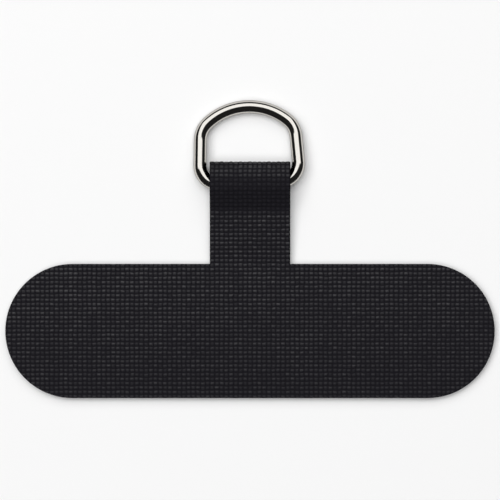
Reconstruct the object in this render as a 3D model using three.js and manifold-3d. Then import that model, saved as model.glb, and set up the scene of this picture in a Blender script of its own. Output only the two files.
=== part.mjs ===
// Phone lanyard tether tab: a folded patch of woven cloth that is laid inside a phone case,
// with a bent-wire D-ring in its loop for the lanyard's clip.
// Millimetres, +Z up. The origin is the middle of the patch's back face, where the patch lies
// on the table. +X runs along the patch and +Y runs up the strap to the ring.

import * as THREE from "three";
import { mergeVertices } from "three/addons/utils/BufferGeometryUtils.js";
import Module from "manifold-3d";

const degrees = THREE.MathUtils.degToRad;

// Patch and strap, as one T-shaped blank
const padLength = 60;
const padWidth = 16.45;
const strapWidth = 9.84;
const strapLength = 12.55; // from the patch's edge to the top of the fold

// Cloth
const leafThickness = 0.45;
const bondThickness = 0.1; // what holds the two leaves together
const bondSetback = 0.25; // from the cut edge in to the bond, so both leaves show there
const rowSpacing = 0.539; // from one weft row to the next
const rowGrooveWidth = 0.2;
const rowGrooveDepth = 0.09;

// D-ring, measured along the middle of its wire
const wireDiameter = 1.6;
const ringCornerRadius = 2.256;
const ringLegLength = 3.14;
const ringLegLean = degrees(3.05); // the legs lean in, away from the bar
const ringShoulderRadius = 2.985;
const ringShoulderTurn = degrees(46.5); // each shoulder's share of the way round to the bow
const ringSideClearance = 0.32; // from each leg to the strap's edge
const ringButtGap = 0.15; // between the wire's two cut ends, in the middle of the bar
const ringSkew = degrees(2.36); // how far the ring has turned in the loop, seen from above

// Loop round the ring's bar
const turningClearance = 0.05; // from the ring's corners to the cloth as the ring swings
const mouthEaseShare = 0.6; // how much of the leaf the corners press in at the loop's mouths
const loopFlare = degrees(22); // how steeply each leaf leaves the strap for the bar
const throatRadius = 0.8; // of the bend where the leaves part
const foldSlack = 0.22; // straight run past the bar, before the fold
const foldEaseRadius = 3.5; // the fold starts gently
const foldEaseTurn = degrees(20);
const strapBendRadius = 4; // where the strap lifts from the patch, which lies flat

// Fineness of the round stretches: an arc gets two faces for each of its divisions
const endDivisions = 24;
const wireDivisions = 8;
const wireSteps = 88;
const bendStep = degrees(12); // of the cloth's smooth inner face
const mouthSteps = 6;
const mouthSides = 32;

// Sizes that follow
const padRadius = padWidth / 2;
const strapHalf = strapWidth / 2;
const wireRadius = wireDiameter / 2;
const halfLeaf = leafThickness / 2;
const middleHeight = leafThickness + bondThickness / 2; // of the bond, in the flat patch
const leafOffset = bondThickness / 2 + halfLeaf; // from the bond's middle to a leaf's middle

const legReach = strapHalf + ringSideClearance + wireRadius;
const halfBar = legReach - ringCornerRadius;
const skewReach = strapHalf * Math.tan(ringSkew);

// How far the inside of the ring's corner stands off the bar, a distance out from the middle.
function cornerReach(across) {
  const intoCorner = Math.max(0, across - halfBar);
  const insideRadius = ringCornerRadius - wireRadius;
  return ringCornerRadius - Math.sqrt(Math.max(0, insideRadius ** 2 - intoCorner ** 2));
}

const mouthRadius = cornerReach(strapHalf) + turningClearance;
const sleeveRadius = mouthRadius - mouthEaseShare * leafThickness;
const wrapRadius = sleeveRadius + halfLeaf;
const foldRadius = (wrapRadius - foldEaseRadius * (1 - Math.cos(foldEaseTurn))) / Math.cos(foldEaseTurn);

// Where the bar lies, and the strap's slope up to it: the patch and the loop both touch the table.
function seatOfBar() {
  const foldTop = padRadius + strapLength;
  const pastBar = skewReach + foldSlack + (foldEaseRadius - foldRadius) * Math.sin(foldEaseTurn);
  let slope = 0;
  let along = 0;
  let height = 0;
  const passes = 20;
  for (let pass = 0; pass < passes; pass++) {
    along = foldTop - halfLeaf - foldRadius - pastBar * Math.cos(slope);
    height = sleeveRadius + leafThickness + skewReach * Math.sin(slope);
    const bendRun = strapBendRadius * Math.sin(slope);
    const bendLift = strapBendRadius * (1 - Math.cos(slope));
    slope = Math.atan2(height - middleHeight - bendLift, along - padRadius - bendRun);
  }
  return { slope, along, height };
}
const bar = seatOfBar();

const wasm = await Module();
wasm.setup();

function solidFrom(geometry) {
  const bare = geometry.clone();
  bare.deleteAttribute("normal");
  bare.deleteAttribute("uv");
  const merged = mergeVertices(bare);
  return new wasm.Manifold(
    new wasm.Mesh({
      numProp: 3,
      vertProperties: new Float32Array(merged.attributes.position.array),
      triVerts: new Uint32Array(merged.index.array),
    }),
  );
}

function geometryFrom(solid) {
  const mesh = solid.getMesh();
  const geometry = new THREE.BufferGeometry();
  geometry.setAttribute("position", new THREE.BufferAttribute(mesh.vertProperties, 3));
  geometry.setIndex(new THREE.BufferAttribute(mesh.triVerts, 1));
  geometry.computeVertexNormals();
  return geometry;
}

// A path of straight runs and round bends in one plane. A bend turns left where its turn is
// above zero.
const run = (length) => ({ length, turn: 0 });
const bend = (radius, turn) => ({ length: radius * Math.abs(turn), turn });

class BentPath extends THREE.Curve {
  constructor(start, pieces) {
    super();
    this.start = start;
    this.pieces = pieces;
    this.total = pieces.reduce((sum, piece) => sum + piece.length, 0);
  }

  at(distance) {
    let left = distance;
    let heading = 0;
    const point = this.start.clone();
    for (const piece of this.pieces) {
      const done = Math.min(left, piece.length);
      const turned = piece.turn === 0 ? 0 : (piece.turn * done) / piece.length;
      const chord = turned === 0 ? done : (2 * done * Math.sin(turned / 2)) / turned;
      point.x += chord * Math.cos(heading + turned / 2);
      point.y += chord * Math.sin(heading + turned / 2);
      heading += turned;
      left -= done;
      if (left <= 0) {
        break;
      }
    }
    return { point, heading };
  }

  // The point beside the path, to its left where the offset is above zero.
  beside(distance, offset) {
    const { point, heading } = this.at(distance);
    return new THREE.Vector2(
      point.x - offset * Math.sin(heading),
      point.y + offset * Math.cos(heading),
    );
  }

  // The path's own corners, with each bend split into small steps.
  stations() {
    const distances = [0];
    let done = 0;
    for (const piece of this.pieces) {
      const parts = Math.max(1, Math.ceil(Math.abs(piece.turn) / bendStep));
      for (let part = 1; part <= parts; part++) {
        distances.push(done + (piece.length * part) / parts);
      }
      done += piece.length;
    }
    return distances;
  }

  getPoint(share, target = new THREE.Vector3()) {
    const { point } = this.at(share * this.total);
    return target.set(point.x, point.y, 0);
  }
}

// Sections across the strap have their x along +Y and their y along +Z.
const overrun = 1; // past the patch's edges, and cut off there
const padRun = 2 * padRadius + overrun;
const bendToBar = (bar.along - padRadius - strapBendRadius * Math.sin(bar.slope)) / Math.cos(bar.slope);
// The straight climb to the bar touches the throat's bend on one side and the wrap's on the other.
const bendHeight = leafOffset + throatRadius;
const throatToWrap = (throatRadius + wrapRadius - bendHeight * Math.cos(loopFlare)) / Math.sin(loopFlare);
const climbRun = throatToWrap * Math.cos(loopFlare) - bendHeight * Math.sin(loopFlare);
const strapRun = bendToBar - skewReach - throatToWrap;

// The middle of the cloth: up the front leaf, over the bar, round the fold, down the back leaf.
function clothPath() {
  const halfLoop = [
    run(strapRun),
    bend(throatRadius, loopFlare),
    run(climbRun),
    bend(wrapRadius, -loopFlare),
    run(2 * skewReach + foldSlack),
    bend(foldEaseRadius, -foldEaseTurn),
    bend(foldRadius, foldEaseTurn - Math.PI / 2),
  ];
  return new BentPath(new THREE.Vector2(padRadius - padRun, middleHeight + leafOffset), [
    run(padRun),
    bend(strapBendRadius - leafOffset, bar.slope),
    ...halfLoop,
    ...halfLoop.toReversed(),
    bend(strapBendRadius + leafOffset, -bar.slope),
    run(padRun),
  ]);
}

// The cloth's section: a band of even thickness whose outer face has a groove between weft rows.
function clothSection() {
  const path = clothPath();
  // A row lies over the middle of the patch on both faces, so the rows between them are whole.
  const frontMiddle = padRun - padRadius;
  const backMiddle = path.total - frontMiddle;
  const rowsBetween = Math.round((backMiddle - frontMiddle) / rowSpacing);
  const pitch = (backMiddle - frontMiddle) / rowsBetween;
  const rowsPast = Math.ceil(padRadius / pitch);

  const outer = [path.beside(0, halfLeaf)];
  for (let row = -rowsPast; row < rowsBetween + rowsPast; row++) {
    const groove = frontMiddle + (row + 0.5) * pitch;
    outer.push(path.beside(groove - rowGrooveWidth / 2, halfLeaf));
    outer.push(path.beside(groove, halfLeaf - rowGrooveDepth));
    outer.push(path.beside(groove + rowGrooveWidth / 2, halfLeaf));
  }
  outer.push(path.beside(path.total, halfLeaf));
  const inner = path.stations().map((distance) => path.beside(distance, -halfLeaf));
  return new THREE.Shape([...outer, ...inner.reverse()]);
}

// The bond between the leaves, from the patch's lower edge up to where the leaves part.
function bondSection() {
  const path = new BentPath(new THREE.Vector2(padRadius - padRun, middleHeight), [
    run(padRun),
    bend(strapBendRadius, bar.slope),
    run(strapRun),
  ]);
  const intoLeaves = bondThickness / 2 + leafThickness / 4;
  const upper = path.stations().map((distance) => path.beside(distance, intoLeaves));
  const lower = path.stations().map((distance) => path.beside(distance, -intoLeaves));
  return new THREE.Shape([...upper, ...lower.reverse()]);
}

function bandAcross(section) {
  const width = padLength + 2 * overrun;
  const band = new THREE.ExtrudeGeometry(section, { depth: width, bevelEnabled: false });
  const sectionToModel = new THREE.Matrix4().makeBasis(
    new THREE.Vector3(0, 1, 0),
    new THREE.Vector3(0, 0, 1),
    new THREE.Vector3(1, 0, 0),
  );
  return solidFrom(band.applyMatrix4(sectionToModel).translate(-width / 2, 0, 0));
}

// The T of patch and strap seen from above, with its edge moved in by an inset, as a tall prism.
function blankPrism(inset) {
  const radius = padRadius - inset;
  const side = strapHalf - inset;
  const endCentre = padLength / 2 - padRadius;
  const top = padRadius + strapLength + overrun;
  const outline = new THREE.Shape();
  outline.moveTo(side, top);
  outline.lineTo(-side, top);
  outline.lineTo(-side, radius);
  outline.lineTo(-endCentre, radius);
  outline.absarc(-endCentre, 0, radius, Math.PI / 2, (3 * Math.PI) / 2, false);
  outline.lineTo(endCentre, -radius);
  outline.absarc(endCentre, 0, radius, -Math.PI / 2, Math.PI / 2, false);
  outline.lineTo(side, radius);
  outline.closePath();
  const tallest = 2 * (sleeveRadius + leafThickness) + overrun;
  const geometry = new THREE.ExtrudeGeometry(outline, {
    depth: tallest + overrun,
    bevelEnabled: false,
    curveSegments: endDivisions,
  });
  return solidFrom(geometry.translate(0, 0, -overrun));
}

// The room that one of the ring's corners sweeps, where it turns in the loop's mouth.
function sweptCorner(side) {
  const end = strapHalf + turningClearance;
  const profile = [new THREE.Vector2(0, halfBar)];
  for (let step = 0; step <= mouthSteps; step++) {
    const across = halfBar + ((end - halfBar) * step) / mouthSteps;
    profile.push(new THREE.Vector2(cornerReach(across) + turningClearance, across));
  }
  profile.push(new THREE.Vector2(0, end));
  const room = new THREE.LatheGeometry(profile, mouthSides);
  room.rotateZ(side * (Math.PI / 2)).rotateZ(ringSkew).translate(0, bar.along, bar.height);
  return solidFrom(room);
}

// One piece of cloth: stadium, strap and stadium in a row, folded over the ring's bar so that
// its halves lie back to back, and bonded there up to the loop.
function makeClothTab() {
  const cloth = bandAcross(clothSection()).intersect(blankPrism(0));
  const bond = bandAcross(bondSection()).intersect(blankPrism(bondSetback));
  return geometryFrom(cloth.add(bond).subtract(sweptCorner(1)).subtract(sweptCorner(-1)));
}

// The middle of the ring's wire, from one cut end in the middle of the bar round to the other,
// with the bar along X and the bow towards +Y.
function ringPath() {
  // The bow's radius is the one that brings its middle over the middle of the bar.
  const legEndAcross = legReach
    - ringCornerRadius * (1 - Math.cos(ringLegLean))
    - ringLegLength * Math.sin(ringLegLean);
  const shoulderCentreAcross = legEndAcross - ringShoulderRadius * Math.cos(ringLegLean);
  const bowTurn = Math.PI / 2 - ringLegLean - ringShoulderTurn;
  const bowRadius = ringShoulderRadius + shoulderCentreAcross / Math.sin(bowTurn);
  const halfRing = [
    run(halfBar - ringButtGap / 2),
    bend(ringCornerRadius, Math.PI / 2 + ringLegLean),
    run(ringLegLength),
    bend(ringShoulderRadius, ringShoulderTurn),
    bend(bowRadius, bowTurn),
  ];
  return new BentPath(new THREE.Vector2(ringButtGap / 2, 0), [...halfRing, ...halfRing.toReversed()]);
}

function makeRing(path) {
  const section = new THREE.Shape();
  section.absarc(0, 0, wireRadius, 0, 2 * Math.PI, false);
  return new THREE.ExtrudeGeometry(section, {
    steps: wireSteps,
    curveSegments: wireDivisions,
    bevelEnabled: false,
    extrudePath: path,
  });
}

const blackCloth = new THREE.MeshStandardMaterial({ color: 0x232226, roughness: 0.85, metalness: 0 });
const polishedNickel = new THREE.MeshStandardMaterial({ color: 0xc9c4ba, roughness: 0.12, metalness: 1 });

const clothTab = new THREE.Mesh(makeClothTab(), blackCloth);
clothTab.name = "folded_cloth_tab";

const wirePath = ringPath();
const ring = new THREE.Mesh(makeRing(wirePath), polishedNickel);
ring.name = "d_ring";

// The ring's bar lies in the loop and its bow leans on the table.
const ringDepth = wirePath.getPoint(0.5).y;
const restTilt = -Math.asin((bar.height - wireRadius) / ringDepth);
const ringSeat = new THREE.Group();
ringSeat.position.set(0, bar.along, bar.height);
ringSeat.rotation.set(restTilt, 0, ringSkew, "ZYX");
ringSeat.add(ring);

const tetherTab = new THREE.Group();
tetherTab.add(clothTab, ringSeat);

export default tetherTab;
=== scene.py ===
# %% [markdown]
# A phone tether tab in black woven cloth, with a polished D-ring folded into its strap.
# The frame from the CAD says where everything is, so the pieces made here are drawn in the
# same place: X along the patch, Y up the strap, Z up from the table. Blender works in metres
# and these small parts are easier to think of in millimetres, so one factor turns one into
# the other.

# %% The frame
import math

import bmesh
import bpy
from mathutils import Matrix, Vector


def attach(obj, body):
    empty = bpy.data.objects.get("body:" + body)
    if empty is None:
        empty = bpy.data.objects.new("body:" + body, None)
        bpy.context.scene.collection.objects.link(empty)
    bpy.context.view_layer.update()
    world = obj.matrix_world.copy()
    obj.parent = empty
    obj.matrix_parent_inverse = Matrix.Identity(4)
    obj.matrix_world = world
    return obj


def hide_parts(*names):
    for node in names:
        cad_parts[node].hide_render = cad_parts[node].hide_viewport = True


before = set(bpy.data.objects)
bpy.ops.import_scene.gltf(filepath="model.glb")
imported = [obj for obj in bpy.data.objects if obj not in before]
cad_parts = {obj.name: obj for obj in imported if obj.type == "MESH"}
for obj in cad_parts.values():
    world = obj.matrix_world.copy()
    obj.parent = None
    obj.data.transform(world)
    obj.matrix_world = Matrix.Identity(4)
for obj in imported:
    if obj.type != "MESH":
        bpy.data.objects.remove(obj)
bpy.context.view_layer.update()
MM = 0.001

# %% [markdown]
# Node trees are quicker to read as sums than as lists of links. Socket wraps one output of
# a node, and its arithmetic signs each add a Math node. Graph holds the tree: its add method
# makes any other node from its type, its settings and the values or links of its inputs. Both
# serve Geometry Nodes and shaders alike, because the two share their Math nodes. Noise, ramps
# and mixes of colours have methods of their own, since the cloth uses them again and again.

# %% Node arithmetic


class Socket:
    """One output of a node, which can be reckoned with like a number."""

    def __init__(self, graph, outlet):
        self.graph = graph
        self.outlet = outlet

    def math(self, operation, *others):
        return self.graph.math(operation, self, *others)

    def __add__(self, other):
        return self.math("ADD", other)

    def __sub__(self, other):
        return self.math("SUBTRACT", other)

    def __mul__(self, other):
        return self.math("MULTIPLY", other)

    def __truediv__(self, other):
        return self.math("DIVIDE", other)

    def __pow__(self, other):
        return self.math("POWER", other)

    def __mod__(self, other):
        return self.math("FLOORED_MODULO", other)

    def __radd__(self, other):
        return self.graph.math("ADD", other, self)

    def __rsub__(self, other):
        return self.graph.math("SUBTRACT", other, self)

    def __rmul__(self, other):
        return self.graph.math("MULTIPLY", other, self)

    def __rtruediv__(self, other):
        return self.graph.math("DIVIDE", other, self)


class Graph:
    """A node tree that is filled from Python."""

    def __init__(self, tree):
        self.tree = tree

    def add(self, kind, inputs=None, outlet=0, **settings):
        node = self.tree.nodes.new(kind)
        for name, value in settings.items():
            setattr(node, name, value)
        for name, value in (inputs or {}).items():
            if isinstance(value, Socket):
                self.tree.links.new(value.outlet, node.inputs[name])
            else:
                node.inputs[name].default_value = value
        return Socket(self, node.outputs[outlet])

    def math(self, operation, *values):
        return self.add("ShaderNodeMath", dict(enumerate(values)), operation=operation)

    def noise(self, x, y, detail=2.0):
        """Noise from 0 to 1 whose bumps are about 1 unit of x and of y across."""
        place = self.add("ShaderNodeCombineXYZ", {0: x, 1: y, 2: 0.0})
        return self.add(
            "ShaderNodeTexNoise", {"Vector": place, "Scale": 1.0, "Detail": detail}, outlet="Fac"
        )

    def ramp(self, value, start, end, low=0.0, high=1.0):
        """Goes from low to high while the value goes from start to end."""
        return self.add("ShaderNodeMapRange", {0: value, 1: start, 2: end, 3: low, 4: high})

    def mix(self, factor, low, high):
        return self.add(
            "ShaderNodeMix", {0: factor, 6: low, 7: high}, outlet=2, data_type="RGBA"
        )


print("node arithmetic is ready")

# %% [markdown]
# The sizes of the real thing, in millimetres. They are the CAD's own, so that the cloth made
# here lies exactly over the plain solid that it stands for.

# %% Sizes
PAD_LENGTH, PAD_WIDTH = 60.0, 16.45
STRAP_WIDTH, STRAP_LENGTH = 9.84, 12.55
LEAF, BOND, BOND_SETBACK = 0.45, 0.1, 0.25

WIRE = 1.6
CORNER_RADIUS = 2.256
LEG_LENGTH, LEG_LEAN = 3.14, math.radians(3.05)
SHOULDER_RADIUS, SHOULDER_TURN = 2.985, math.radians(46.5)
SIDE_CLEARANCE, BUTT_GAP = 0.32, 0.15
RING_SKEW = math.radians(2.36)

TURNING_CLEARANCE, MOUTH_EASE = 0.05, 0.6
LOOP_FLARE, THROAT_RADIUS = math.radians(22), 0.8
FOLD_SLACK, FOLD_EASE_RADIUS, FOLD_EASE_TURN = 0.22, 3.5, math.radians(20)
STRAP_BEND_RADIUS = 4.0

pad_radius = PAD_WIDTH / 2
end_centre = PAD_LENGTH / 2 - pad_radius
strap_half = STRAP_WIDTH / 2
wire_radius = WIRE / 2
half_leaf = LEAF / 2
middle_height = LEAF + BOND / 2
leaf_offset = BOND / 2 + half_leaf
leg_reach = strap_half + SIDE_CLEARANCE + wire_radius
half_bar = leg_reach - CORNER_RADIUS
skew_reach = strap_half * math.tan(RING_SKEW)


def corner_reach(across):
    """How far the inside of the ring's corner stands off the bar, at a distance from its middle."""
    into_corner = max(0.0, across - half_bar)
    inside_radius = CORNER_RADIUS - wire_radius
    return CORNER_RADIUS - math.sqrt(max(0.0, inside_radius**2 - into_corner**2))


sleeve_radius = corner_reach(strap_half) + TURNING_CLEARANCE - MOUTH_EASE * LEAF
wrap_radius = sleeve_radius + half_leaf
fold_radius = wrap_radius - FOLD_EASE_RADIUS * (1 - math.cos(FOLD_EASE_TURN))
fold_radius /= math.cos(FOLD_EASE_TURN)


def seat_of_bar():
    """Slope of the strap and the bar's place, found by turns since each depends on the other."""
    fold_top = pad_radius + STRAP_LENGTH
    past_bar = skew_reach + FOLD_SLACK + (FOLD_EASE_RADIUS - fold_radius) * math.sin(FOLD_EASE_TURN)
    slope = 0.0
    for _ in range(20):
        along = fold_top - half_leaf - fold_radius - past_bar * math.cos(slope)
        height = sleeve_radius + LEAF + skew_reach * math.sin(slope)
        rise = height - middle_height - STRAP_BEND_RADIUS * (1 - math.cos(slope))
        slope = math.atan2(rise, along - pad_radius - STRAP_BEND_RADIUS * math.sin(slope))
    return slope, along, height


strap_slope, bar_along, bar_height = seat_of_bar()
print(f"the ring's bar lies at y {bar_along:.3f}, z {bar_height:.3f} mm")

# %% [markdown]
# Both the cloth and the wire follow paths of straight runs and round bends. Blender's curves
# could hold them, but a path reckoned from its own lengths and turns gives exact places, and
# the way along it is the length of cloth itself, which the weave needs.

# %% Paths


def run(length):
    return (length, 0.0)


def bend(radius, turn):
    return (radius * abs(turn), turn)


class BentPath:
    """Straight runs and round bends in one plane. A turn above zero bends left."""

    def __init__(self, start, pieces):
        self.start = start
        self.pieces = pieces
        self.total = sum(length for length, _ in pieces)

    def at(self, distance):
        heading = 0.0
        x, y = self.start
        for length, turn in self.pieces:
            done = min(distance, length)
            turned = turn * done / length
            chord = done
            if turned:
                chord = 2 * done * math.sin(turned / 2) / turned
            x += chord * math.cos(heading + turned / 2)
            y += chord * math.sin(heading + turned / 2)
            heading += turned
            distance -= done
            if distance <= 0:
                break
        return x, y, heading


bend_to_bar = bar_along - pad_radius - STRAP_BEND_RADIUS * math.sin(strap_slope)
bend_to_bar /= math.cos(strap_slope)
bend_height = leaf_offset + THROAT_RADIUS
throat_to_wrap = THROAT_RADIUS + wrap_radius - bend_height * math.cos(LOOP_FLARE)
throat_to_wrap /= math.sin(LOOP_FLARE)
climb_run = throat_to_wrap * math.cos(LOOP_FLARE) - bend_height * math.sin(LOOP_FLARE)
strap_run = bend_to_bar - skew_reach - throat_to_wrap

half_loop = [
    run(strap_run),
    bend(THROAT_RADIUS, LOOP_FLARE),
    run(climb_run),
    bend(wrap_radius, -LOOP_FLARE),
    run(2 * skew_reach + FOLD_SLACK),
    bend(FOLD_EASE_RADIUS, -FOLD_EASE_TURN),
    bend(fold_radius, FOLD_EASE_TURN - math.pi / 2),
]
cloth_path = BentPath(
    (-pad_radius, middle_height + leaf_offset),
    [
        run(PAD_WIDTH),
        bend(STRAP_BEND_RADIUS - leaf_offset, strap_slope),
        *half_loop,
        *reversed(half_loop),
        bend(STRAP_BEND_RADIUS + leaf_offset, -strap_slope),
        run(PAD_WIDTH),
    ],
)
middle_to_fold = cloth_path.total / 2 - pad_radius
bonded_front = PAD_WIDTH + (STRAP_BEND_RADIUS - leaf_offset) * strap_slope + strap_run
bonded_back = (
    cloth_path.total - PAD_WIDTH - (STRAP_BEND_RADIUS + leaf_offset) * strap_slope - strap_run
)
print(f"the cloth is {cloth_path.total:.2f} mm long from edge to edge")

# %% [markdown]
# The cloth is one closed shell. Its outer face is a fine grid that lies along the yarns, so
# that the weave can be raised on it; its inner face is a ladder of long faces, since nobody
# sees it. Every row of the grid is cut off at the edge of the T. Three named attributes go
# with the points: how far each is along and across the cloth, and which way is out.

# %% The cloth's shell
ROWS_BETWEEN = 80  # weft rows from the middle of the front to the middle of the back
STRAP_YARNS = 17
ALONG_PARTS, ACROSS_PARTS = 4, 3  # points to each yarn
EDGE_STEPS = [math.radians(turn) for turn in (4, 8, 12)]
INNER_INSETS = (0.0, 0.06, 0.14, BOND_SETBACK, 0.4, 0.6, 0.85, 1.14)

row_pitch = (cloth_path.total - PAD_WIDTH) / ROWS_BETWEEN
yarn_pitch = STRAP_WIDTH / STRAP_YARNS


def half_width(distance):
    """Half of the cloth's width at a distance along it."""
    from_middle = min(distance, cloth_path.total - distance) - pad_radius
    if from_middle > pad_radius:
        return strap_half
    return end_centre + math.sqrt(max(0.0, pad_radius**2 - from_middle**2))


def row_distances():
    """Where the grid's rows lie: on the yarns, and closer together where the pad's ends turn in."""
    fixed = []
    for edge, inward in ((0, 1), (PAD_WIDTH, -1)):
        for turn in [0.0, *EDGE_STEPS]:
            fixed.append(edge + inward * pad_radius * (1 - math.cos(turn)))
    fixed += [cloth_path.total - distance for distance in fixed]
    step = row_pitch / ALONG_PARTS
    first = -math.floor(pad_radius / step)
    count = math.floor((cloth_path.total - pad_radius) / step)
    spaced = [pad_radius + index * step for index in range(first, count + 1)]
    free = [d for d in spaced if min(abs(d - other) for other in fixed) > step / 4]
    return sorted(fixed + free)


bar_line = Vector((math.cos(RING_SKEW), math.sin(RING_SKEW), 0))
bar_middle = Vector((0, bar_along, bar_height))


def clear_of_corner(point, outward):
    """The point, moved outward until the ring's corner passes it as the ring swings."""
    for _ in range(4):
        from_bar = point - bar_middle
        across = from_bar.dot(bar_line)
        away = from_bar - across * bar_line
        short = corner_reach(abs(across)) + TURNING_CLEARANCE - away.length
        if short <= 0:
            break
        point = point + outward * (short / max(0.3, away.normalized().dot(outward)))
    return point


def cloth_shell():
    mesh = bpy.data.meshes.new("woven_cloth_tab")
    points, along, across, outward, faces = [], [], [], [], []

    def add_point(distance, x, offset, moves):
        y, z, heading = cloth_path.at(distance)
        out = Vector((0, -math.sin(heading), math.cos(heading)))
        point = Vector((x, y, z)) + out * offset
        if offset < 0 and bonded_front < distance < bonded_back:
            point = clear_of_corner(point, out)
        points.append(point * MM)
        along.append(distance - pad_radius)
        across.append(x)
        outward.append(out if moves else Vector())
        return len(points) - 1

    columns = math.ceil((PAD_LENGTH / 2 - strap_half) / (yarn_pitch / ACROSS_PARTS))
    lines = [
        -strap_half + index * yarn_pitch / ACROSS_PARTS
        for index in range(-columns, STRAP_YARNS * ACROSS_PARTS + columns + 1)
    ]
    strap_lines = slice(columns, columns + STRAP_YARNS * ACROSS_PARTS + 1)

    def outer_row(distance, width):
        row = []
        left = add_point(distance, -width, half_leaf, True)
        right = add_point(distance, width, half_leaf, True)
        for x in lines:
            if x <= -width + 1e-3:
                row.append(left)
            elif x >= width - 1e-3:
                row.append(right)
            else:
                row.append(add_point(distance, x, half_leaf, True))
        return row

    def inner_row(distance, width):
        bonded = distance < bonded_front or distance > bonded_back
        sides = [width - inset for inset in INNER_INSETS]
        row = []
        for x in [-side for side in sides] + sides[::-1]:
            meets = bonded and width - abs(x) > BOND_SETBACK - 1e-6
            row.append(add_point(distance, x, -half_leaf - (BOND / 2 if meets else 0), False))
        return row

    def add_face(*corners):
        kept = [c for place, c in enumerate(corners) if c != corners[place - 1]]
        if len(kept) > 2:
            faces.append(kept)

    def join(outer, inner, next_outer, next_inner):
        for a, b, c, d in zip(outer, outer[1:], next_outer[1:], next_outer):
            add_face(a, b, c, d)
        for a, b, c, d in zip(inner, inner[1:], next_inner[1:], next_inner):
            add_face(d, c, b, a)
        add_face(outer[-1], inner[-1], next_inner[-1], next_outer[-1])
        add_face(outer[0], next_outer[0], next_inner[0], inner[0])

    def unique(row):
        return list(dict.fromkeys(row))

    def shoulders(outer, inner_strap, inner):
        """The cut edge on both sides of the strap, where it meets the patch."""
        left, right = outer[: strap_lines.start + 1], outer[strap_lines.stop - 1 :]
        return unique(left) + inner_strap + unique(right) + inner[::-1]

    previous = None
    for distance in row_distances():
        width = half_width(distance)
        outer, inner = outer_row(distance, width), inner_row(distance, width)
        narrow = math.isclose(width, strap_half)
        if narrow:
            outer = outer[strap_lines]
        if previous is None:
            add_face(*unique(outer)[::-1], *inner)
        else:
            if previous_narrow and not narrow:
                inner_strap = inner_row(distance, strap_half)
                join(*previous, outer[strap_lines], inner_strap)
                add_face(*shoulders(outer, inner_strap, inner)[::-1])
            else:
                join(*previous, outer, inner)
        leaving_pad = math.isclose(distance, PAD_WIDTH)
        if leaving_pad:
            inner_strap = inner_row(distance, strap_half)
            add_face(*shoulders(outer, inner_strap, inner))
            outer, inner = outer[strap_lines], inner_strap
        previous_narrow = leaving_pad or narrow
        previous = (outer, inner)
    add_face(*unique(previous[0]), *previous[1][::-1])

    mesh.from_pydata(points, [], faces)
    for name, values in (("along", along), ("across", across)):
        mesh.attributes.new(name, "FLOAT", "POINT").data.foreach_set("value", values)
    flat = [part for vector in outward for part in vector]
    mesh.attributes.new("outward", "FLOAT_VECTOR", "POINT").data.foreach_set("vector", flat)
    return mesh


cloth = bpy.data.objects.new("woven_cloth_tab", cloth_shell())
bpy.context.collection.objects.link(cloth)
shell_check = bmesh.new()
shell_check.from_mesh(cloth.data)
open_edges = sum(len(edge.link_faces) != 2 for edge in shell_check.edges)
shell_check.free()
print(f"cloth shell: {len(cloth.data.polygons)} faces, {open_edges} open edges")

# %% [markdown]
# Black cloth. A picture of cloth wrapped round the piece would be quicker, but it would blur
# close up. So the shader draws each yarn again at a finer grain than the mesh: a dome over each
# crossing, dull between the yarns, and every second crossing lower, where a yarn of the other
# direction is on top. The base colour follows these domes: painted shade darkens it from the
# crowns down into the gaps and on the lower crossings, and the cut edges take the gaps' dark
# colour all over. Two surfaces are mixed, a dull one for the gaps and one with a sheen for
# the crowns. The yarns wander a little, fine fibres run along them, and the sheen changes slowly
# over the patch as a nap does, which keeps the cloth from looking printed. Where the strap is
# pulled over the ring's bar the yarns are flattened and lose most of their sheen.

# %% The cloth's material
TIGHT = (2.3, 6.95)  # from the fold, where the cloth is pulled tight
TIGHT_FADE = 0.3
FOLD_TIGHTNESS = 0.45
TIGHT_DULLING = 0.85
WANDER = 0.24  # between the furthest that a yarn strays to either side
BUMP_HEIGHT = 0.05 * MM
# painted shade: this darker colour stands for the shade in the gaps between the yarns, and it is
# also the cut edges' own dark colour
GAP_SHADE_AND_CUT_EDGE_COLOUR = (0.0088, 0.0082, 0.0105, 1)
YARN_COLOUR = (0.0142, 0.0134, 0.0166, 1)


def pulled_tight(graph, along):
    """1 where the cloth is pulled over the ring's bar, less in the fold itself, and 0 elsewhere."""
    from_fold = (along - middle_to_fold).math("ABSOLUTE")
    starts, ends = (
        graph.ramp(from_fold, near - TIGHT_FADE, near + TIGHT_FADE, least)
        for near, least in ((TIGHT[0], FOLD_TIGHTNESS), (TIGHT[1], 0.0))
    )
    return starts - ends


def plain_weave(graph, along, across):
    """Domes along and across the yarns, the row, the column, and 1 where the warp is on top."""
    v = along / row_pitch + 0.5
    u = across / yarn_pitch + 0.5
    row, column = v.math("FLOOR"), u.math("FLOOR")
    warp_up = (row + column) % 2.0
    over_rows = 1 - ((v % 1.0) * 2 - 1).math("ABSOLUTE") ** (2.0 + 1.1 * warp_up)
    over_columns = 1 - ((u % 1.0) * 2 - 1).math("ABSOLUTE") ** (3.1 - 1.1 * warp_up)
    return over_rows, over_columns, row, column, warp_up


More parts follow.
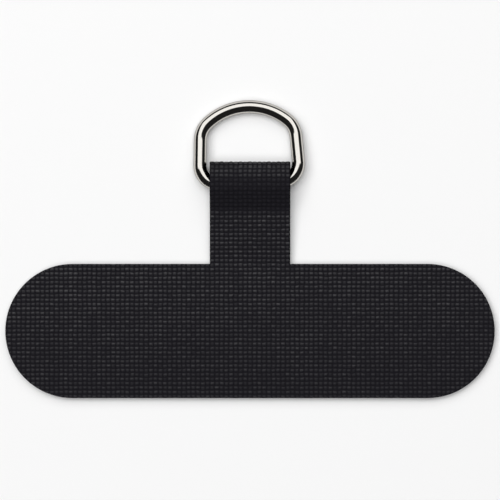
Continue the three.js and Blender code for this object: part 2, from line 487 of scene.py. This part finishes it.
def cloth_material():
    material = bpy.data.materials.new("black cloth")
    material.use_nodes = True
    tree = material.node_tree
    tree.nodes.remove(tree.nodes["Principled BSDF"])
    graph = Graph(tree)
    along = graph.add("ShaderNodeAttribute", outlet="Fac", attribute_name="along")
    across = graph.add("ShaderNodeAttribute", outlet="Fac", attribute_name="across")
    outward = graph.add("ShaderNodeAttribute", outlet="Vector", attribute_name="outward")
    length = graph.add("ShaderNodeVectorMath", {0: outward}, outlet="Value", operation="LENGTH")
    on_face = graph.ramp(length, 0.6, 0.95)
    wander_up = WANDER * (graph.noise(across * 0.9, along * 0.5) - 0.5)
    wander_across = WANDER * (graph.noise(along * 0.9 + 40.0, across * 0.5) - 0.5)
    over_rows, over_columns, row, column, warp_up = plain_weave(
        graph, along + wander_up, across + wander_across
    )

    place = graph.add("ShaderNodeCombineXYZ", {0: column, 1: row, 2: 0.0})
    chance = graph.add("ShaderNodeTexWhiteNoise", {"Vector": place}, outlet="Value")
    fibres = graph.noise(across * (3.0 + 13.0 * warp_up), along * (16.0 - 13.0 * warp_up), 3.0)
    slow = graph.noise(across * 0.22, along * 0.22)
    where = graph.add("ShaderNodeTexCoord", outlet="Object")
    x = graph.add("ShaderNodeSeparateXYZ", {0: where}, outlet="X")
    y = graph.add("ShaderNodeSeparateXYZ", {0: where}, outlet="Y")
    nap_across = graph.ramp(x, -30 * MM, 30 * MM, 1.15, 0.85)
    nap_up = graph.ramp(y, -9 * MM, 14 * MM, 0.5, 1.5)

    slack = 1 - TIGHT_DULLING * pulled_tight(graph, along)
    dome = over_rows * over_columns * (1 - 0.25 * warp_up) * on_face
    # painted shade: the base colour darkens from the yarns' crowns into the gaps and on the lower
    # crossings; fibres and slow noise add real tone
    painted_shade_and_tone = dome * (0.7 + 0.6 * fibres) * (0.8 + 0.4 * slow)
    colour = graph.mix(painted_shade_and_tone, GAP_SHADE_AND_CUT_EDGE_COLOUR, YARN_COLOUR)
    bump = graph.add(
        "ShaderNodeBump",
        {"Strength": 1.0, "Distance": BUMP_HEIGHT, "Height": dome + 0.15 * fibres},
    )
    shared = {"Base Color": colour, "Normal": bump}
    gap = graph.add(
        "ShaderNodeBsdfPrincipled", {**shared, "Roughness": 0.9, "Specular IOR Level": 0.05}
    )
    yarn = graph.add(
        "ShaderNodeBsdfPrincipled",
        {**shared, "Roughness": 0.5 - 0.16 * fibres, "Specular IOR Level": 0.75},
    )
    crown = over_rows**2.0 * over_columns**1.5 * (1 - 0.3 * warp_up) * on_face
    shine = crown * slack * nap_across * nap_up * (0.45 + 0.7 * chance) * (0.5 + 1.0 * slow)
    surface = graph.add("ShaderNodeMixShader", {0: shine, 1: gap, 2: yarn})
    tree.links.new(surface.outlet, tree.nodes["Material Output"].inputs["Surface"])
    return material


black_cloth = cloth_material()
print("material:", black_cloth.name)

# %% [markdown]
# The weave itself. Modelling thousands of yarns by hand would take days and modelling them as
# curves would make a very heavy mesh, so Geometry Nodes presses the gaps between them into
# the shell. The yarns' crowns stay where they are, which keeps the cloth inside the CAD's
# solid. The spacings come from the photo and the rest can be changed on the modifier.

# %% The weave


def weave_tree():
    tree = bpy.data.node_groups.new("plain_weave", "GeometryNodeTree")
    sockets = {}
    for name, kind in (
        ("Geometry", "Geometry"),
        ("Row gap", "Float"),
        ("Column gap", "Float"),
        ("Alternate drop", "Float"),
        ("Relief", "Float"),
        ("Flattening where tight", "Float"),
        ("Irregularity", "Float"),
        ("Seed", "Int"),
        ("Material", "Material"),
    ):
        sockets[name] = tree.interface.new_socket(
            name, in_out="INPUT", socket_type="NodeSocket" + kind
        ).identifier
    tree.interface.new_socket("Geometry", in_out="OUTPUT", socket_type="NodeSocketGeometry")
    graph = Graph(tree)
    given = tree.nodes.new("NodeGroupInput")
    value = {name: Socket(graph, given.outputs[name]) for name in sockets}

    def attribute(name, kind):
        return graph.add(
            "GeometryNodeInputNamedAttribute", {"Name": name}, outlet="Attribute", data_type=kind
        )

    over_rows, over_columns, row, column, warp_up = plain_weave(
        graph, attribute("along", "FLOAT"), attribute("across", "FLOAT")
    )
    rows = 1 - value["Row gap"] * (1 - over_rows)
    columns = 1 - value["Column gap"] * (1 - over_columns)
    height = rows * columns * (1 - value["Alternate drop"] * warp_up * over_rows * over_columns)
    chance = graph.add(
        "FunctionNodeRandomValue",
        {"ID": row * 311.0 + column, "Seed": value["Seed"]},
        outlet=1,
        data_type="FLOAT",
    )
    tight = pulled_tight(graph, attribute("along", "FLOAT"))
    slack = 1 - value["Flattening where tight"] * tight
    sunk = (1 - height) * slack + value["Irregularity"] * chance
    shift = graph.add(
        "ShaderNodeVectorMath",
        {0: attribute("outward", "FLOAT_VECTOR"), "Scale": sunk * value["Relief"] * -1.0},
        operation="SCALE",
    )
    moved = graph.add(
        "GeometryNodeSetPosition", {"Geometry": value["Geometry"], "Offset": shift}
    )
    whole = graph.add("GeometryNodeRealizeInstances", {"Geometry": moved})
    dressed = graph.add(
        "GeometryNodeSetMaterial", {"Geometry": whole, "Material": value["Material"]}
    )
    result = tree.nodes.new("NodeGroupOutput")
    tree.links.new(dressed.outlet, result.inputs[0])
    return tree, sockets


def apply_nodes(thing, tree, sockets, settings):
    """Runs a Geometry Nodes tree on an object and keeps its result as a plain mesh."""
    modifier = thing.modifiers.new(tree.name, "NODES")
    modifier.node_group = tree
    for name, value in settings.items():
        modifier[sockets[name]] = value
    evaluated = thing.evaluated_get(bpy.context.evaluated_depsgraph_get())
    mesh = bpy.data.meshes.new_from_object(evaluated)
    thing.modifiers.remove(modifier)
    thing.data = mesh


weave, weave_sockets = weave_tree()
apply_nodes(
    cloth,
    weave,
    weave_sockets,
    {
        "Row gap": 1.0,
        "Column gap": 0.8,
        "Alternate drop": 0.25,
        "Relief": 0.09 * MM,
        "Flattening where tight": 0.4,
        "Irregularity": 0.25,
        "Seed": 5,
        "Material": black_cloth,
    },
)
cloth.data.shade_smooth()
print(f"woven cloth: {len(cloth.data.polygons)} faces")

# %% [markdown]
# The D-ring is a bent wire whose cut ends meet in the middle of its bar, inside the loop. It
# could be a curve with a bevel, but a tube built ring by ring lets the two ends be rounded
# off, and gives even faces for the mirror finish.

# %% The ring
WIRE_SIDES = 40
BURR = 0.14  # how far back the cut ends are rounded
STRAIGHT_STEP, TURN_STEP = 0.4, math.radians(2.5)


def ring_path():
    leg_end = leg_reach - CORNER_RADIUS * (1 - math.cos(LEG_LEAN)) - LEG_LENGTH * math.sin(LEG_LEAN)
    bow_turn = math.pi / 2 - LEG_LEAN - SHOULDER_TURN
    shoulder_across = leg_end - SHOULDER_RADIUS * math.cos(LEG_LEAN)
    half_ring = [
        run(half_bar - BUTT_GAP / 2),
        bend(CORNER_RADIUS, math.pi / 2 + LEG_LEAN),
        run(LEG_LENGTH),
        bend(SHOULDER_RADIUS, SHOULDER_TURN),
        bend(SHOULDER_RADIUS + shoulder_across / math.sin(bow_turn), bow_turn),
    ]
    return BentPath((BUTT_GAP / 2, 0), [*half_ring, *reversed(half_ring)])


def wire_stations(path):
    """Distances along the wire, close together in the bends."""
    stations = [0.0]
    done = 0.0
    for length, turn in path.pieces:
        parts = max(1, math.ceil(length / STRAIGHT_STEP), math.ceil(abs(turn) / TURN_STEP))
        stations += [done + length * part / parts for part in range(1, parts + 1)]
        done += length
    return stations


def ring_mesh(path):
    rounds = [(BURR * (1 - math.cos(t)), BURR * (1 - math.sin(t))) for t in (0.0, 0.5, 1.0)]
    stations = [(distance, wire_radius - short) for distance, short in rounds]
    inside = [d for d in wire_stations(path) if BURR <= d <= path.total - BURR]
    stations += [(distance, wire_radius) for distance in [BURR, *inside, path.total - BURR]]
    stations += [(path.total - distance, wire_radius - short) for distance, short in rounds[::-1]]
    stations = sorted(set(stations))
    depth = max(path.at(d)[1] for d, _ in stations)
    rest_tilt = -math.asin((bar_height - wire_radius) / depth)
    seat = Matrix.Translation(bar_middle) @ Matrix.Rotation(RING_SKEW, 4, "Z")
    seat = seat @ Matrix.Rotation(rest_tilt, 4, "X")
    points, faces = [], []
    for distance, radius in stations:
        x, y, heading = path.at(distance)
        side = Vector((-math.sin(heading), math.cos(heading), 0))
        for step in range(WIRE_SIDES):
            turn = 2 * math.pi * step / WIRE_SIDES
            spoke = side * math.cos(turn) + Vector((0, 0, math.sin(turn)))
            points.append(seat @ (Vector((x, y, 0)) + spoke * radius) * MM)
    for index in range(len(stations) - 1):
        for step in range(WIRE_SIDES):
            a = index * WIRE_SIDES + step
            b = index * WIRE_SIDES + (step + 1) % WIRE_SIDES
            faces.append((a, b, b + WIRE_SIDES, a + WIRE_SIDES))
    faces.append(range(WIRE_SIDES)[::-1])
    faces.append(range(len(points) - WIRE_SIDES, len(points)))
    mesh = bpy.data.meshes.new("polished_d_ring")
    mesh.from_pydata(points, [], faces)
    mesh.shade_smooth()
    return mesh


ring = bpy.data.objects.new("polished_d_ring", ring_mesh(ring_path()))
bpy.context.collection.objects.link(ring)
print(f"ring: {len(ring.data.polygons)} faces")

# %% [markdown]
# Polished nickel. It is a mirror, so most of what it shows is the room, and only small faults
# give it away as a real thing: a very slight waviness from bending, and fine handling marks
# that change its roughness here and there. Its rims would flare up white against the pale
# floor, so the specular tint, which colours a metal's edge, is set low.

# %% The ring's material
NICKEL_COLOUR = (0.63, 0.608, 0.57, 1)
EDGE_TINT = (0.25, 0.25, 0.25, 1)


def nickel_material():
    material = bpy.data.materials.new("polished nickel")
    material.use_nodes = True
    tree = material.node_tree
    graph = Graph(tree)
    shader = tree.nodes["Principled BSDF"]
    place = graph.add("ShaderNodeTexCoord", outlet="Object")
    marks = graph.add(
        "ShaderNodeTexNoise", {"Vector": place, "Scale": 900.0, "Detail": 4.0}, outlet="Fac"
    )
    scratches = graph.add(
        "ShaderNodeTexNoise",
        {"Vector": place, "Scale": 5200.0, "Detail": 2.0, "Distortion": 1.2},
        outlet="Fac",
    )
    rough = 0.045 + 0.05 * marks
    bump = graph.add(
        "ShaderNodeBump",
        {"Strength": 0.12, "Distance": 0.01 * MM, "Height": scratches + marks},
    )
    tree.links.new(rough.outlet, shader.inputs["Roughness"])
    tree.links.new(bump.outlet, shader.inputs["Normal"])
    shader.inputs["Base Color"].default_value = NICKEL_COLOUR
    shader.inputs["Metallic"].default_value = 1.0
    shader.inputs["Specular Tint"].default_value = EDGE_TINT
    return material


polished_nickel = nickel_material()
ring.data.materials.append(polished_nickel)
print("material:", polished_nickel.name)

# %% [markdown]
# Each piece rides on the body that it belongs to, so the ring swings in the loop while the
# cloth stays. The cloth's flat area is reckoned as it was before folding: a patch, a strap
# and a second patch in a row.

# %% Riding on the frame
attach(cloth, "tab")
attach(ring, "ring")
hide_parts("folded_cloth_tab")
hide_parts("d_ring")
stadium = math.pi * pad_radius**2 + 2 * end_centre * PAD_WIDTH
flat_area = 2 * stadium + STRAP_WIDTH * (cloth_path.total - 2 * PAD_WIDTH)
cloth_path.total * MM
flat_area * MM**2
print(f"flat area of the cloth: {flat_area:.0f} square mm")

# %% [markdown]
# A pale floor and soft light from above and beyond the ring, as in a small product studio.
# The big softbox is what the ring's wire mirrors as a bright band. The lamp overhead lights the
# floor and brings up the black cloth. It is hidden from mirrors, so that the wire keeps the dark
# stripes which make it look polished.

# %% The studio
FLOOR_SIZE = 6.0
VIEW_WIDTH = 61.29  # across the photo, at the height of the patch's front
LENS, SENSOR = 200.0, 36.0
AIM = (0, 9.93, 1.0)
WORLD_STRENGTH = 0.018


def lamp(name, place, size, radiance, mirrored=True):
    """A soft rectangular lamp that looks at the object, as bright as its radiance says."""
    data = bpy.data.lights.new(name, "AREA")
    data.shape = "RECTANGLE"
    data.size, data.size_y = size
    data.energy = radiance * math.pi * size[0] * size[1]
    thing = bpy.data.objects.new(name, data)
    thing.location = place
    aim = Vector(AIM) * MM
    thing.rotation_euler = (aim - thing.location).to_track_quat("-Z", "Y").to_euler()
    thing.visible_glossy = mirrored
    bpy.context.collection.objects.link(thing)


floor_mesh = bpy.data.meshes.new("floor")
half = FLOOR_SIZE / 2
floor_height = -0.02 * MM
floor_mesh.from_pydata(
    [(x, y, floor_height) for x, y in ((-half, -half), (half, -half), (half, half), (-half, half))],
    [],
    [(0, 1, 2, 3)],
)
floor = bpy.data.objects.new("floor", floor_mesh)
bpy.context.collection.objects.link(floor)
floor_material = bpy.data.materials.new("pale floor")
floor_material.use_nodes = True
floor_shader = floor_material.node_tree.nodes["Principled BSDF"]
floor_shader.inputs["Base Color"].default_value = (0.88, 0.88, 0.88, 1)
floor_shader.inputs["Roughness"].default_value = 0.9
floor_mesh.materials.append(floor_material)

lamp("softbox", (-0.03, 0.465, 0.669), (1.3, 0.745), 1.4)
lamp("overhead lamp", (-0.3, 0.05, 1.3), (1.5, 1.5), 2.6, mirrored=False)

world = bpy.data.worlds.new("dim room")
world.use_nodes = True
world.node_tree.nodes["Background"].inputs["Color"].default_value = (1, 1, 1, 1)
world.node_tree.nodes["Background"].inputs["Strength"].default_value = WORLD_STRENGTH
bpy.context.scene.world = world

camera_data = bpy.data.cameras.new("camera")
camera_data.lens = LENS
camera_data.sensor_width = SENSOR
camera = bpy.data.objects.new("camera", camera_data)
distance = VIEW_WIDTH * LENS / SENSOR
camera.location = Vector((AIM[0], AIM[1], AIM[2] + distance)) * MM
bpy.context.collection.objects.link(camera)
bpy.context.scene.camera = camera
bpy.context.scene.view_settings.view_transform = "Standard"
print(f"camera {distance:.0f} mm above the patch")
